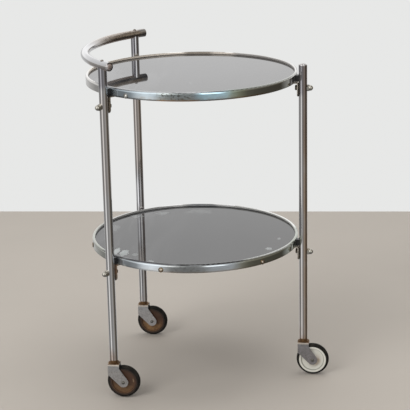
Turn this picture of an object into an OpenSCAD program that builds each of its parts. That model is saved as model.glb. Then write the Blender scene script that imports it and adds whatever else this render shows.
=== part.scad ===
// Round two-tier bar cart on three chromed tube legs with swivel casters.
// +Z is up, the handle is at -X and the single front leg is at +X.
// The floor is z = 0, and x = y = 0 is the middle of the cart's footprint.

/* [Trays] */
// Outside diameter of both trays, over the rim band
tray_d = 500; // [400:1:600]
// Height of the upper rim's top edge above the floor
upper_tray_z = 749; // [620:1:900]
// Height of the lower rim's top edge above the floor
lower_tray_z = 349; // [240:1:460]
// Height of the rim band
rim_h = 20.5; // [18:0.5:30]
// Thickness of the rim's sheet steel
rim_t = 1.2; // [0.8:0.1:1.6]
// Width of the rim's rolled top, from outside to inside
rim_ledge = 6.5; // [6.2:0.1:12]
// Outside radius of the rim's two rolled corners
rim_roll_r = 2.5; // [2:0.1:2.9]
// Drop from the rim's top edge to the glass
glass_drop = 5.5; // [3:0.5:6]
// Thickness of the glass plates
glass_t = 4; // [3:0.5:6]
// Drop of the glass plates' bevel, which lies under the rim
glass_bevel_h = 0.3; // [0.1:0.1:0.8]
// Room between the glass's flat face and the lip of the rim
glass_face_gap = 0.2; // [0.1:0.1:1]
// Room between the glass and the rim band
glass_play = 0.5; // [0.2:0.1:1.5]
// Room between the base board and the rim band
board_play = 0.3; // [0.1:0.1:1]

/* [Legs] */
// Outside diameter of the leg and handle tube
tube_d = 20; // [17:0.5:25]
// Wall of the leg and handle tube
tube_wall = 1.2; // [0.8:0.1:2]
// Gap between the rim band and each leg
leg_gap = 7; // [4:0.5:14]
// Angle of each handle leg from the middle of the handle end
handle_leg_angle = 50; // [40:1:60]
// Angle of the front leg from the middle of the front end
front_leg_angle = -6; // [-12:1:12]
// Rise of the front leg's tube above the upper rim
front_leg_rise = 19.5; // [8:0.5:60]
// Height of the rounded cap on the front leg
leg_cap_h = 4.5; // [2:0.5:8]
// Length of the front cap's plug inside the tube
leg_cap_l = 14; // [6:1:30]

/* [Handle] */
// Rise of the handle's centreline above the upper rim
handle_rise = 51.5; // [42:0.5:120]
// Depth of the handle's bow beyond its two legs
handle_bow = 76; // [40:1:130]
// Length of handle past each leg, along the bend
handle_overhang = 29; // [20:1:50]
// Drop from the handle's centreline to the saddle tips of its legs
saddle_drop = 5; // [4:0.5:7]
// Height of the rounded cap at each handle end
handle_cap_h = 3; // [2:0.5:8]
// Length of an end cap's plug inside the handle
handle_cap_l = 10; // [5:1:14]
// Length of a cap's plug inside the cap's own head
cap_bite = 0.5; // [0.2:0.1:0.6]
// Diameter of the handle screws
handle_screw_d = 4; // [3:0.5:5]
// Diameter of a handle screw's round head
handle_screw_head_d = 8; // [6.5:0.5:10]
// Height of a handle screw's round head
handle_screw_head_h = 2.6; // [1.5:0.1:4]
// Reach of a handle screw below the handle's centreline
handle_screw_reach = 28; // [20:1:32]
// Reach of the leg plugs below the handle's centreline
leg_plug_reach = 36; // [34:1:44]

/* [Brackets] */
// Width of the bracket strap
bracket_w = 20; // [15:0.5:24]
// Thickness of the bracket strap
bracket_t = 2.5; // [1.5:0.1:4]
// Inside radius of the bracket's bend
bracket_bend_r = 1.5; // [0.5:0.1:3]
// Length of the handle legs' brackets down the leg, from the underside of the tray
bracket_drop = 40; // [38:1:60]
// Length of the front leg's brackets down the leg, from the underside of the tray
front_bracket_drop = 34; // [30:1:60]
// Length of the bracket under the tray, from its upright face
bracket_reach = 38; // [36:1:60]
// Drop of the handle legs' bolts below the underside of the upper tray
upper_bolt_drop = 23; // [14:0.5:25]
// Drop of the handle legs' bolts below the underside of the lower tray
lower_bolt_drop = 18; // [14:0.5:25]
// Drop of the front leg's bolts below the underside of each tray
front_bolt_drop = 13; // [12.5:0.5:17]
// Diameter of the bolts through the legs
bolt_d = 6; // [4:0.5:7]
// Size of the bolt heads across their flats
bolt_head_af = 11; // [9:0.5:13]
// Height of the bolt heads
bolt_head_h = 5.5; // [3:0.5:8]
// Size of the cap nuts across their flats
cap_nut_af = 13.4; // [13:0.1:15]
// Height of the cap nuts' hexagon
cap_nut_hex_h = 5; // [3:0.5:7]
// Diameter of the cap nuts' dome
cap_nut_dome_d = 13; // [11:0.1:13]
// Whole length of the cap nuts
cap_nut_l = 14; // [13.5:0.5:18]
// Thread engaged in each cap nut
bolt_in_nut = 9; // [5:0.5:10]
// Distance from the bracket's upright face to its first wood screw
bracket_screw_in = 14; // [13:0.5:16]
// Distance between the two wood screws of a bracket
bracket_screw_pitch = 12; // [9:0.5:14]
// Diameter of the bracket's wood screws
bracket_screw_d = 3.5; // [2.5:0.5:4.5]
// Diameter of the wood screws' heads
bracket_screw_head_d = 7; // [5:0.5:8]
// Height of the wood screws' heads
bracket_screw_head_h = 2; // [1:0.1:3]
// Depth of the wood screws in the base board
bracket_screw_bite = 4.5; // [2:0.5:5]
// Width of the rubber spacer between rim and leg
spacer_w = 14; // [10:0.5:16]
// Height of the rubber spacer
spacer_h = 15; // [8:0.5:15]
// Height of the spacer's foot above the rim's lower edge
spacer_up = 2.5; // [1:0.5:3]

/* [Rim screws] */
// Angle of the first upper rim screw, with two more a third of a turn apart
upper_screw_angle = 242; // [238:1:250]
// Angle of the middle of the first pair of lower rim screws
lower_pair_angle = 288; // [284:1:291]
// Angle between the two screws of a pair
lower_pair_spread = 57; // [50:1:62]
// Height of the rim screws above the rim's lower edge
rim_screw_up = 5.5; // [5:0.1:5.8]
// Diameter of the rim screws
rim_screw_d = 3.5; // [2.5:0.5:4]
// Length of the rim screws in the rim and board
rim_screw_l = 14; // [8:1:20]
// Diameter of the rim screws' heads
rim_screw_head_d = 8; // [6:0.5:9]
// Height of the rim screws' heads
rim_screw_head_h = 1.8; // [1.5:0.1:3]
// Diameter of the cup washers under the rim screws' heads
cup_d = 12; // [10:0.5:13]
// Height of the cup washers
cup_h = 1.6; // [1.2:0.1:2.2]
// Thickness of the cup washers under the screw heads and at their edge
cup_floor_t = 0.6; // [0.4:0.1:1]
// Width of the slot in a screw head
slot_w = 1.2; // [0.8:0.1:1.6]
// Depth of the slot in a screw head
slot_depth = 0.9; // [0.5:0.1:1.2]

/* [Casters] */
// Diameter of the wheels over the tyre
wheel_d = 79; // [70:1:80]
// Width of the wheels
wheel_w = 18; // [16:0.5:19]
// Depth of the tyre outside the hub
tyre_depth = 6.5; // [4:0.5:7]
// Drop of the tyre's round tread at its two edges
tyre_crown = 5; // [3:0.5:6.5]
// Width of the rib that holds the tyre in the hub
tyre_rib_w = 8; // [4:0.5:10]
// Depth of the tyre's rib
tyre_rib_h = 3; // [1.5:0.5:3.5]
// Radial width of the hub's outer ring
hub_ring_w = 5; // [4.5:0.1:7]
// Depth of the dish in each face of the hub
hub_dish = 3.5; // [1:0.5:5]
// Diameter of the hub's middle boss
hub_boss_d = 19; // [15:0.5:24]
// Slope width of the moulded faces of the hub
hub_slope = 2; // [1:0.1:3]
// Distance that the boss stands back from the bush's ends
hub_boss_back = 0.7; // [0.3:0.1:1.5]
// Outside diameter of the wheel's bush
bush_d = 10; // [9:0.5:12]
// Diameter of the axle rivet
axle_d = 6; // [5:0.5:7]
// Diameter of the axle rivet's heads
axle_head_d = 8.5; // [8:0.5:13]
// Height of the axle rivet's heads
axle_head_h = 2.2; // [1.5:0.1:4]
// Distance from the swivel axis back to the axle
trail = 22.5; // [16:0.5:26]
// Height from the axle to the top of the fork
fork_h = 45; // [45:0.5:56]
// Inside width of the fork
fork_gap = 22; // [20.5:0.5:26]
// Thickness of the fork's sheet
fork_t = 2; // [1.5:0.1:2.4]
// Outside radius of the fork's bends
fork_bend_r = 3; // [2.5:0.1:4]
// Width of the fork's side plates at the top
fork_w = 27; // [22:0.5:28]
// Diameter of the round part of the fork's top
fork_top_d = 29; // [28.5:0.5:34]
// Length of the straight edge behind the swivel
fork_back_l = 26; // [18:0.5:30]
// Length of the straight edge above the wheel
fork_front_l = 11; // [6:0.5:16]
// Radius of the fork's ends about the axle
fork_end_r = 12; // [9:0.5:14]
// Height of the neck between the fork and the leg
neck_h = 9; // [6:0.5:12]
// Diameter of the swivel washer
swivel_washer_d = 17.5; // [14:0.5:19]
// Diameter of the swivel washer's wide foot on the fork
washer_foot_d = 26; // [20:0.5:28]
// Height of the swivel washer's wide foot
washer_foot_h = 2; // [1:0.1:2.4]
// Diameter of the stem
stem_d = 9.5; // [7:0.5:10.5]
// Length of the stem above the fork
stem_l = 38; // [25:1:60]
// Diameter of the stem's riveted head under the fork
stem_head_d = 14; // [12:0.5:17]
// Height of the stem's riveted head
stem_head_h = 2; // [1:0.1:2.5]
// Diameter of the socket's flange under the tube
socket_flange_d = 18; // [17:0.5:24]
// Height of the socket's flange
socket_flange_h = 2.2; // [1.5:0.1:3]
// Length of the socket inside the tube
socket_l = 40; // [20:1:70]

/* [Fits] */
// Radial clearance of pieces that are fixed together
fit_gap = 0.05; // [0.02:0.01:0.1]
// Radial clearance of the stem and the axle, which turn
bearing_gap = 0.05; // [0.03:0.01:0.1]
// End clearance between faces that turn past each other
running_gap = 0.3; // [0.2:0.05:0.5]

/* [Hidden] */
$fn = 96;
tray_fn = 720;

// Finishes, as red, green and blue
chrome = [0.74, 0.76, 0.78];
worn_steel = [0.56, 0.53, 0.50];
brass = [0.66, 0.56, 0.36];
black_glass = [0.10, 0.11, 0.12];
dark_board = [0.30, 0.22, 0.15];
rubber = [0.07, 0.07, 0.07];
brown_plastic = [0.30, 0.19, 0.12];
cream_plastic = [0.86, 0.84, 0.76];

// Angles of the legs about the tray axis
left_a = 180 - handle_leg_angle;
right_a = 180 + handle_leg_angle;
front_a = front_leg_angle;
leg_angles = [left_a, right_a, front_a];
handle_leg_angles = [left_a, right_a];
third_turn = 120;

// Trays
tray_r = tray_d / 2;
board_t = rim_h - glass_drop - glass_t;
rim_inner_r = tray_r - rim_t;
upper_base_z = upper_tray_z - rim_h;
lower_base_z = lower_tray_z - rim_h;
base_heights = [upper_base_z, lower_base_z];
upper_screw_angles = [for (k = [0:2]) upper_screw_angle + k * third_turn];
lower_screw_angles = [
    for (k = [0:2], side = [-1, 1])
        lower_pair_angle + k * third_turn + side * lower_pair_spread / 2
];

// Legs and handle
tube_r = tube_d / 2;
tube_inner_r = tube_r - tube_wall;
plug_r = tube_inner_r - fit_gap;
leg_r = tray_r + leg_gap + tube_r;
wheel_r = wheel_d / 2;
fork_top_z = wheel_r + fork_h;
leg_bottom_z = fork_top_z + neck_h;
front_leg_top_z = upper_tray_z + front_leg_rise;
handle_z = upper_tray_z + handle_rise;
saddle_z = handle_z - saddle_drop;
chord_x = leg_r * cos(left_a);
half_chord = leg_r * sin(left_a);
handle_r = (half_chord * half_chord + handle_bow * handle_bow) / (2 * handle_bow);
handle_x = chord_x - handle_bow + handle_r;
handle_leg_sweep = atan2(half_chord, handle_x - chord_x);
overhang_sweep = handle_overhang / handle_r * 180 / PI;
handle_sweep = handle_leg_sweep + overhang_sweep;
handle_cap_sweep = handle_cap_l / handle_r * 180 / PI;
cap_bite_sweep = cap_bite / handle_r * 180 / PI;

// Brackets
strap_r = leg_r - tube_r - fit_gap;
bracket_bend_out = bracket_bend_r + bracket_t;
bolt_hole_d = bolt_d + 2 * fit_gap;
bracket_screw_xs = [bracket_screw_in, bracket_screw_in + bracket_screw_pitch];

// Casters
fork_half = fork_gap / 2 + fork_t;
fork_flat_half = fork_half - fork_bend_r;
hub_r = wheel_r - tyre_depth;
tyre_inner_r = hub_r + fit_gap;
crown_r = (wheel_w * wheel_w / 4 + tyre_crown * tyre_crown) / (2 * tyre_crown);
washer_h = neck_h - socket_flange_h - running_gap;
bush_half = fork_gap / 2 - running_gap;

// The tray axis stands off the middle of the footprint by this much
reach_back = max(tray_r, handle_bow - chord_x + tube_r);
reach_front = max(tray_r, leg_r * cos(front_a) + trail + wheel_r);
tray_x = (reach_back - reach_front) / 2;

// Point where a line from p touches the circle of radius r about c, on one side of it
function touch_point(p, c, r, side) =
    let (d = norm(c - p), turn = atan2(c[1] - p[1], c[0] - p[0]) + side * asin(r / d))
    p + sqrt(d * d - r * r) * [cos(turn), sin(turn)];

// Height of the bolt through the leg at angle a, under the tray whose underside is at base_z
function bolt_z(base_z, a) =
    base_z - (a == front_a ? front_bolt_drop : base_z == upper_base_z ? upper_bolt_drop : lower_bolt_drop);

// Moves children to the tray axis
module on_axis(z = 0) {
    translate([tray_x, 0, z]) children();
}

// Moves children to the foot of the leg at angle a, without turning them
module at_leg(a, z = 0) {
    on_axis(z) translate([leg_r * cos(a), leg_r * sin(a), 0]) children();
}

// Turns children to angle a and moves them out by r, at height z
module radial(a, r, z) {
    on_axis(z) rotate([0, 0, a]) translate([r, 0, 0]) children();
}

// Round bar along the radius, from the origin outwards
module radial_bar(d, l) {
    rotate([0, 90, 0]) cylinder(d = d, h = l);
}

// Low dome of diameter d and height h, standing on z = 0
module dome(d, h) {
    ball_r = (d * d / 4 + h * h) / (2 * h);
    rotate_extrude() intersection() {
        translate([0, h - ball_r]) circle(r = ball_r);
        square([d / 2, h]);
    }
}

// Low dome with a screwdriver slot
module slotted_dome(d, h) {
    difference() {
        dome(d, h);
        translate([-d / 2, -slot_w / 2, h - slot_depth]) cube([d, slot_w, h]);
    }
}

// Prism with six sides, af across its flats
module hex_bar(af, l) {
    cylinder(d = af / cos(30), h = l, $fn = 6);
}

// Solid bar of diameter d along the handle's bend, from angle start on for sweep
module handle_arc(d, start, sweep) {
    on_axis(handle_z)
        translate([handle_x, 0, 0])
            rotate([0, 0, start])
                rotate_extrude(angle = sweep)
                    translate([handle_r, 0]) circle(d = d);
}

// The same bar about the handle's middle, for half_sweep on each side
module handle_bar(d, half_sweep) {
    handle_arc(d, 180 - half_sweep, 2 * half_sweep);
}

// Moves children to a handle end, with z along the tube's axis outwards
module at_handle_end(side) {
    on_axis(handle_z)
        translate([handle_x, 0, 0])
            rotate([0, 0, 180 - side * handle_sweep])
                translate([handle_r, 0, 0])
                    rotate([side * 90, 0, 0]) children();
}

// Bare leg tube from its foot to height top_z
module leg_tube(a, top_z) {
    difference() {
        at_leg(a, leg_bottom_z) cylinder(r = tube_r, h = top_z - leg_bottom_z);
        at_leg(a, leg_bottom_z - 1) cylinder(r = tube_inner_r, h = top_z - leg_bottom_z + 2);
        for (z = base_heights)
            radial(a, leg_r - tube_d, bolt_z(z, a)) radial_bar(bolt_hole_d, 2 * tube_d);
    }
}

// Leg with its top cut to a saddle for the handle
module handle_leg(a) {
    color(chrome) difference() {
        leg_tube(a, saddle_z);
        handle_bar(tube_d + 2 * fit_gap, handle_sweep);
    }
}

module front_leg() {
    color(chrome) leg_tube(front_a, front_leg_top_z);
}

// Rounded end of a tube, with a low upright edge
module cap_head(h) {
    edge_h = h / 3;
    cylinder(d = tube_d, h = edge_h);
    translate([0, 0, edge_h]) dome(tube_d, h - edge_h);
}

module leg_front_cap() {
    color(chrome) {
        at_leg(front_a, front_leg_top_z) cap_head(leg_cap_h);
        at_leg(front_a, front_leg_top_z - leg_cap_l) cylinder(r = plug_r, h = leg_cap_l + cap_bite);
    }
}

// Plug in a handle leg, tapped for the handle screw
module leg_plug(a) {
    color(worn_steel) difference() {
        at_leg(a, handle_z - leg_plug_reach) cylinder(r = plug_r, h = leg_plug_reach - saddle_drop);
        handle_bar(tube_d + 2 * fit_gap, handle_sweep);
        at_leg(a, handle_z - handle_screw_reach - fit_gap)
            cylinder(d = handle_screw_d + 2 * fit_gap, h = tube_d + handle_screw_reach);
    }
}

module handle_tube() {
    color(chrome) difference() {
        handle_bar(tube_d, handle_sweep);
        handle_bar(2 * tube_inner_r, handle_sweep + overhang_sweep);
        for (a = handle_leg_angles)
            at_leg(a, handle_z - tube_d)
                cylinder(d = handle_screw_d + 2 * fit_gap, h = 2 * tube_d);
    }
}

// Handle cap with a plug that follows the bend
module handle_cap(side) {
    end_a = 180 - side * handle_sweep;
    start_a = side > 0 ? end_a - cap_bite_sweep : end_a - handle_cap_sweep;
    color(chrome) {
        at_handle_end(side) cap_head(handle_cap_h);
        handle_arc(2 * plug_r, start_a, handle_cap_sweep + cap_bite_sweep);
    }
}

module handle_screws() {
    color(chrome) for (a = handle_leg_angles) {
        at_leg(a, handle_z - handle_screw_reach)
            cylinder(d = handle_screw_d, h = handle_screw_reach + tube_r);
        at_leg(a, handle_z + tube_r) slotted_dome(handle_screw_head_d, handle_screw_head_h);
    }
}

// Quarter of a ring, in the corner where x and y are positive
module quarter_ring(outer_r, inner_r) {
    intersection() {
        difference() {
            circle(r = outer_r);
            circle(r = inner_r);
        }
        square(outer_r);
    }
}

// Section of the rim: outer band, rolled top and a lip down to the glass
module rim_section() {
    roll_in = rim_roll_r - rim_t;
    translate([rim_inner_r, 0]) square([rim_t, rim_h - rim_roll_r]);
    translate([tray_r - rim_roll_r, rim_h - rim_roll_r]) quarter_ring(rim_roll_r, roll_in);
    translate([tray_r - rim_ledge + rim_roll_r, rim_h - rim_t])
        square([rim_ledge - 2 * rim_roll_r, rim_t]);
    translate([tray_r - rim_ledge + rim_roll_r, rim_h - rim_roll_r])
        mirror([1, 0]) quarter_ring(rim_roll_r, roll_in);
    translate([tray_r - rim_ledge, rim_h - glass_drop]) square([rim_t, glass_drop - rim_roll_r]);
}

module rim(base_z, angles) {
    color(chrome) difference() {
        on_axis(base_z) rotate_extrude() rim_section();
        for (a = angles)
            radial(a, tray_r - rim_screw_l, base_z + rim_screw_up)
                radial_bar(rim_screw_d + 2 * fit_gap, 2 * rim_screw_l);
    }
}

module glass(base_z) {
    glass_r = rim_inner_r - glass_play;
    face_r = tray_r - rim_ledge - glass_face_gap;
    color(black_glass) on_axis(base_z + board_t) rotate_extrude() polygon([
        [0, 0],
        [glass_r, 0],
        [glass_r, glass_t - glass_bevel_h],
        [face_r, glass_t],
        [0, glass_t]
    ]);
}

module board(base_z, angles) {
    color(dark_board) difference() {
        on_axis(base_z) cylinder(r = rim_inner_r - board_play, h = board_t);
        for (a = angles)
            radial(a, tray_r - rim_screw_l - fit_gap, base_z + rim_screw_up)
                radial_bar(rim_screw_d + 2 * fit_gap, 2 * rim_screw_l);
        for (a = leg_angles, x = bracket_screw_xs)
            radial(a, strap_r - x, base_z - fit_gap)
                cylinder(d = bracket_screw_d + 2 * fit_gap, h = bracket_screw_bite + 2 * fit_gap);
    }
}

module rim_screws(base_z, angles) {
    color(brass) for (a = angles) {
        radial(a, tray_r - rim_screw_l, base_z + rim_screw_up)
            radial_bar(rim_screw_d, rim_screw_l + cup_floor_t);
        radial(a, tray_r + cup_floor_t, base_z + rim_screw_up)
            rotate([0, 90, 0]) slotted_dome(rim_screw_head_d, rim_screw_head_h);
    }
}

// Section of a cup washer: a floor under the screw's head and a sloping collar about it
module cup_section() {
    hole_r = rim_screw_d / 2 + fit_gap;
    head_r = rim_screw_head_d / 2 + fit_gap;
    polygon([
        [hole_r, 0],
        [cup_d / 2, 0],
        [cup_d / 2, cup_floor_t],
        [head_r + cup_floor_t, cup_h],
        [head_r, cup_h],
        [head_r, cup_floor_t],
        [hole_r, cup_floor_t]
    ]);
}

module cups(base_z, angles) {
    for (a = angles)
        radial(a, tray_r, base_z + rim_screw_up)
            rotate([0, 90, 0]) rotate_extrude() cup_section();
}

module rim_screw_cups() {
    color(brass) {
        cups(upper_base_z, upper_screw_angles);
        cups(lower_base_z, lower_screw_angles);
    }
}

// Strap bent under the tray and down the inner side of the leg
module bracket(base_z, a) {
    drop = a == front_a ? front_bracket_drop : bracket_drop;
    color(worn_steel) difference() {
        radial(a, strap_r, base_z) {
            translate([-bracket_t, 0, 0]) rotate([90, 0, 90]) linear_extrude(bracket_t)
                strap_outline(drop);
            translate([0, 0, -bracket_t]) linear_extrude(bracket_t)
                rotate(-90) strap_outline(bracket_reach);
            translate([-bracket_bend_out, bracket_w / 2, -bracket_bend_out])
                rotate([90, 0, 0]) linear_extrude(bracket_w)
                    quarter_ring(bracket_bend_out, bracket_bend_r);
        }
        radial(a, strap_r - 2 * bracket_t, bolt_z(base_z, a)) radial_bar(bolt_hole_d, 3 * bracket_t);
        for (x = bracket_screw_xs)
            radial(a, strap_r - x, base_z - 2 * bracket_t)
                cylinder(d = bracket_screw_d + 2 * fit_gap, h = 3 * bracket_t);
    }
}

// Flat leg of the strap, from its bend down to a round end
module strap_outline(l) {
    end_r = bracket_w / 2;
    translate([-end_r, end_r - l]) square([bracket_w, l - end_r - bracket_bend_out]);
    translate([0, end_r - l]) circle(r = end_r);
}

module bracket_screws() {
    color(brass) for (z = base_heights, a = leg_angles, x = bracket_screw_xs) {
        radial(a, strap_r - x, z - bracket_t)
            cylinder(d = bracket_screw_d, h = bracket_t + bracket_screw_bite);
        radial(a, strap_r - x, z - bracket_t)
            mirror([0, 0, 1]) slotted_dome(bracket_screw_head_d, bracket_screw_head_h);
    }
}

// Rubber block between the rim band and the leg, hollowed to fit both
module spacer(base_z, a) {
    color(rubber) difference() {
        radial(a, tray_r - rim_t, base_z + spacer_up)
            translate([0, -spacer_w / 2, 0]) cube([leg_r - tray_r, spacer_w, spacer_h]);
        on_axis(base_z) cylinder(r = tray_r + fit_gap, h = 2 * rim_h, $fn = tray_fn);
        at_leg(a, base_z) cylinder(r = tube_r + fit_gap, h = 2 * rim_h);
    }
}

module leg_bolts() {
    head_r = strap_r - bracket_t;
    color(worn_steel) for (z = base_heights, a = leg_angles) {
        radial(a, head_r - bolt_head_h, bolt_z(z, a))
            rotate([0, 90, 0]) hex_bar(bolt_head_af, bolt_head_h);
        radial(a, head_r, bolt_z(z, a)) radial_bar(bolt_d, leg_r + tube_r - head_r + bolt_in_nut);
    }
}

module cap_nuts() {
    dome_r = cap_nut_dome_d / 2;
    color(brass) for (z = base_heights, a = leg_angles)
        radial(a, leg_r + tube_r, bolt_z(z, a)) rotate([0, 90, 0]) difference() {
            union() {
                hex_bar(cap_nut_af, cap_nut_hex_h);
                cylinder(r = dome_r, h = cap_nut_l - dome_r);
                translate([0, 0, cap_nut_l - dome_r]) sphere(r = dome_r);
            }
            translate([0, 0, -1]) cylinder(d = bolt_hole_d, h = bolt_in_nut + fit_gap + 1);
        }
}

// Flanged socket in the foot of a leg
module socket(a) {
    color(worn_steel) difference() {
        union() {
            at_leg(a, leg_bottom_z) cylinder(r = plug_r, h = socket_l);
            at_leg(a, leg_bottom_z - socket_flange_h)
                cylinder(d = socket_flange_d, h = socket_flange_h);
        }
        at_leg(a, leg_bottom_z - neck_h)
            cylinder(d = stem_d + 2 * bearing_gap, h = socket_l + 2 * neck_h);
    }
}

// Stem riveted to the fork, with its head under the fork's top
module stem(a) {
    color(worn_steel) {
        at_leg(a, fork_top_z - fork_t) cylinder(d = stem_d, h = fork_t + stem_l);
        at_leg(a, fork_top_z - fork_t - stem_head_h) cylinder(d = stem_head_d, h = stem_head_h);
    }
}

// Raised washer with a wide foot, which fills the neck between fork and socket
module washer(a) {
    color(worn_steel) difference() {
        at_leg(a, fork_top_z) {
            cylinder(d = washer_foot_d, h = washer_foot_h);
            cylinder(d = swivel_washer_d, h = washer_h);
        }
        at_leg(a, fork_top_z - 1) cylinder(d = stem_d + 2 * fit_gap, h = washer_h + 2);
    }
}

// Side plate of the fork in x and z, with the fork's top at z = 0
module fork_outline() {
    axle = [trail, -fork_h];
    front = [fork_w / 2, -fork_front_l];
    back = [-fork_w / 2, -fork_back_l];
    polygon([
        [fork_w / 2, -fork_bend_r],
        front,
        touch_point(front, axle, fork_end_r, 1),
        axle,
        touch_point(back, axle, fork_end_r, -1),
        back,
        [-fork_w / 2, -fork_bend_r]
    ]);
    translate(axle) circle(r = fork_end_r);
}

module fork(a) {
    color(worn_steel) difference() {
        at_leg(a, fork_top_z) {
            translate([0, 0, -fork_t]) linear_extrude(fork_t) {
                square([fork_w, 2 * fork_flat_half], center = true);
                intersection() {
                    circle(d = fork_top_d);
                    square([fork_top_d, 2 * fork_flat_half], center = true);
                }
            }
            for (side = [0, 1]) mirror([0, side, 0]) {
                translate([0, fork_half, 0]) rotate([90, 0, 0]) linear_extrude(fork_t)
                    fork_outline();
                translate([-fork_w / 2, fork_flat_half, -fork_bend_r])
                    rotate([90, 0, 90]) linear_extrude(fork_w)
                        quarter_ring(fork_bend_r, fork_bend_r - fork_t);
            }
        }
        at_leg(a, fork_top_z - 2 * fork_t) cylinder(d = stem_d + 2 * fit_gap, h = 3 * fork_t);
        at_axle(a) axle_bar(axle_d + 2 * fit_gap, 2 * fork_half);
    }
}

// Moves children to the middle of a wheel
module at_axle(a) {
    at_leg(a, wheel_r) translate([trail, 0, 0]) children();
}

// Round bar along the axle, half of it on each side of the wheel's middle
module axle_bar(d, half_l) {
    rotate([90, 0, 0]) cylinder(d = d, h = 2 * half_l, center = true);
}

module axle(a) {
    color(worn_steel) at_axle(a) {
        axle_bar(axle_d, fork_half);
        for (side = [0, 1]) mirror([0, side, 0])
            translate([0, fork_half, 0]) rotate([-90, 0, 0]) dome(axle_head_d, axle_head_h);
    }
}

module bush(a) {
    color(worn_steel) at_axle(a) difference() {
        axle_bar(bush_d, bush_half);
        axle_bar(axle_d + 2 * bearing_gap, bush_half + 1);
    }
}

// Section of the hub: boss, dished web and outer ring with the tyre's groove
module hub_section() {
    bore_r = bush_d / 2 + fit_gap;
    boss_r = hub_boss_d / 2;
    boss_half = bush_half - hub_boss_back;
    ring_half = wheel_w / 2;
    web_half = ring_half - hub_dish;
    ring_in_r = hub_r - hub_ring_w;
    groove_r = hub_r - tyre_rib_h - fit_gap;
    groove_half = tyre_rib_w / 2 + fit_gap;
    upper_side = [
        [bore_r, boss_half],
        [boss_r, boss_half],
        [boss_r + hub_slope, web_half],
        [ring_in_r - hub_slope / 2, web_half],
        [ring_in_r, ring_half],
        [hub_r, ring_half],
        [hub_r, groove_half],
        [groove_r, groove_half]
    ];
    lower_side = [for (i = [len(upper_side) - 1:-1:0]) [upper_side[i][0], -upper_side[i][1]]];
    polygon(concat(upper_side, lower_side));
}

module hub(a, tint) {
    color(tint) at_axle(a) rotate([90, 0, 0]) rotate_extrude() hub_section();
}

module tyre(a) {
    color(rubber) at_axle(a) rotate([90, 0, 0]) rotate_extrude() {
        intersection() {
            translate([wheel_r - crown_r, 0]) circle(r = crown_r);
            translate([tyre_inner_r, -wheel_w / 2]) square([tyre_depth, wheel_w]);
        }
        translate([hub_r - tyre_rib_h, -tyre_rib_w / 2])
            square([tyre_rib_h + 2 * fit_gap, tyre_rib_w]);
    }
}

handle_leg(left_a);  // leg_left
handle_leg(right_a);  // leg_right
front_leg();  // leg_front
leg_front_cap();
leg_plug(left_a);  // leg_plug_left
leg_plug(right_a);  // leg_plug_right
handle_tube();
handle_cap(1);  // handle_cap_left
handle_cap(-1);  // handle_cap_right
handle_screws();
rim(upper_base_z, upper_screw_angles);  // upper_rim
glass(upper_base_z);  // upper_glass
board(upper_base_z, upper_screw_angles);  // upper_board
rim_screws(upper_base_z, upper_screw_angles);  // upper_rim_screws
rim(lower_base_z, lower_screw_angles);  // lower_rim
glass(lower_base_z);  // lower_glass
board(lower_base_z, lower_screw_angles);  // lower_board
rim_screws(lower_base_z, lower_screw_angles);  // lower_rim_screws
rim_screw_cups();
bracket(upper_base_z, left_a);  // upper_bracket_left
bracket(upper_base_z, right_a);  // upper_bracket_right
bracket(upper_base_z, front_a);  // upper_bracket_front
bracket(lower_base_z, left_a);  // lower_bracket_left
bracket(lower_base_z, right_a);  // lower_bracket_right
bracket(lower_base_z, front_a);  // lower_bracket_front
spacer(upper_base_z, left_a);  // upper_spacer_left
spacer(upper_base_z, right_a);  // upper_spacer_right
spacer(upper_base_z, front_a);  // upper_spacer_front
spacer(lower_base_z, left_a);  // lower_spacer_left
spacer(lower_base_z, right_a);  // lower_spacer_right
spacer(lower_base_z, front_a);  // lower_spacer_front
bracket_screws();
leg_bolts();
cap_nuts();
socket(left_a);  // socket_left
socket(right_a);  // socket_right
socket(front_a);  // socket_front
stem(left_a);  // stem_left
stem(right_a);  // stem_right
stem(front_a);  // stem_front
washer(left_a);  // washer_left
washer(right_a);  // washer_right
washer(front_a);  // washer_front
fork(left_a);  // fork_left
fork(right_a);  // fork_right
fork(front_a);  // fork_front
axle(left_a);  // axle_left
axle(right_a);  // axle_right
axle(front_a);  // axle_front
bush(left_a);  // bush_left
bush(right_a);  // bush_right
bush(front_a);  // bush_front
hub(left_a, brown_plastic);  // hub_left
hub(right_a, brown_plastic);  // hub_right
hub(front_a, cream_plastic);  // hub_front
tyre(left_a);  // tyre_left
tyre(right_a);  // tyre_right
tyre(front_a);  // tyre_front
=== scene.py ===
"""Looks of the round two-tier bar cart: camera, studio, and the finish of every piece. Units are metres."""

import math

import bpy
from mathutils import Matrix, Vector


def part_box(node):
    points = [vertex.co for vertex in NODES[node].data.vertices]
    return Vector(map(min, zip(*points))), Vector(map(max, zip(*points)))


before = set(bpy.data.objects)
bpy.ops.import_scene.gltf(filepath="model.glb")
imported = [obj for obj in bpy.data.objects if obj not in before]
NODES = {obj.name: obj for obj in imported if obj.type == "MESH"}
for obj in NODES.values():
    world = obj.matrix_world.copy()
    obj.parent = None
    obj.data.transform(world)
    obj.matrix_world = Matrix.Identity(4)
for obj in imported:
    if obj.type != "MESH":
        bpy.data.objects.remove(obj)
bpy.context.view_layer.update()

ENDS = ("left", "right", "front")
TIERS = ("upper", "lower")


def middle(node):
    low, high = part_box(node)
    return (low + high) / 2


TRAY_X = middle("upper_glass").x
TRAY_R = (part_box("upper_rim")[1].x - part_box("upper_rim")[0].x) / 2

# Camera, as fitted to the photograph
CAMERA_AZIMUTH = math.radians(7.96)
CAMERA_ELEVATION = math.radians(16.25)
CAMERA_ROLL = math.radians(-1.229)
CAMERA_DISTANCE = 3.5957
CAMERA_LENS = 130.1
SENSOR_WIDTH = 36.0
AIM_RIGHT = 0.0252
AIM_HEIGHT = 0.4173

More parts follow.
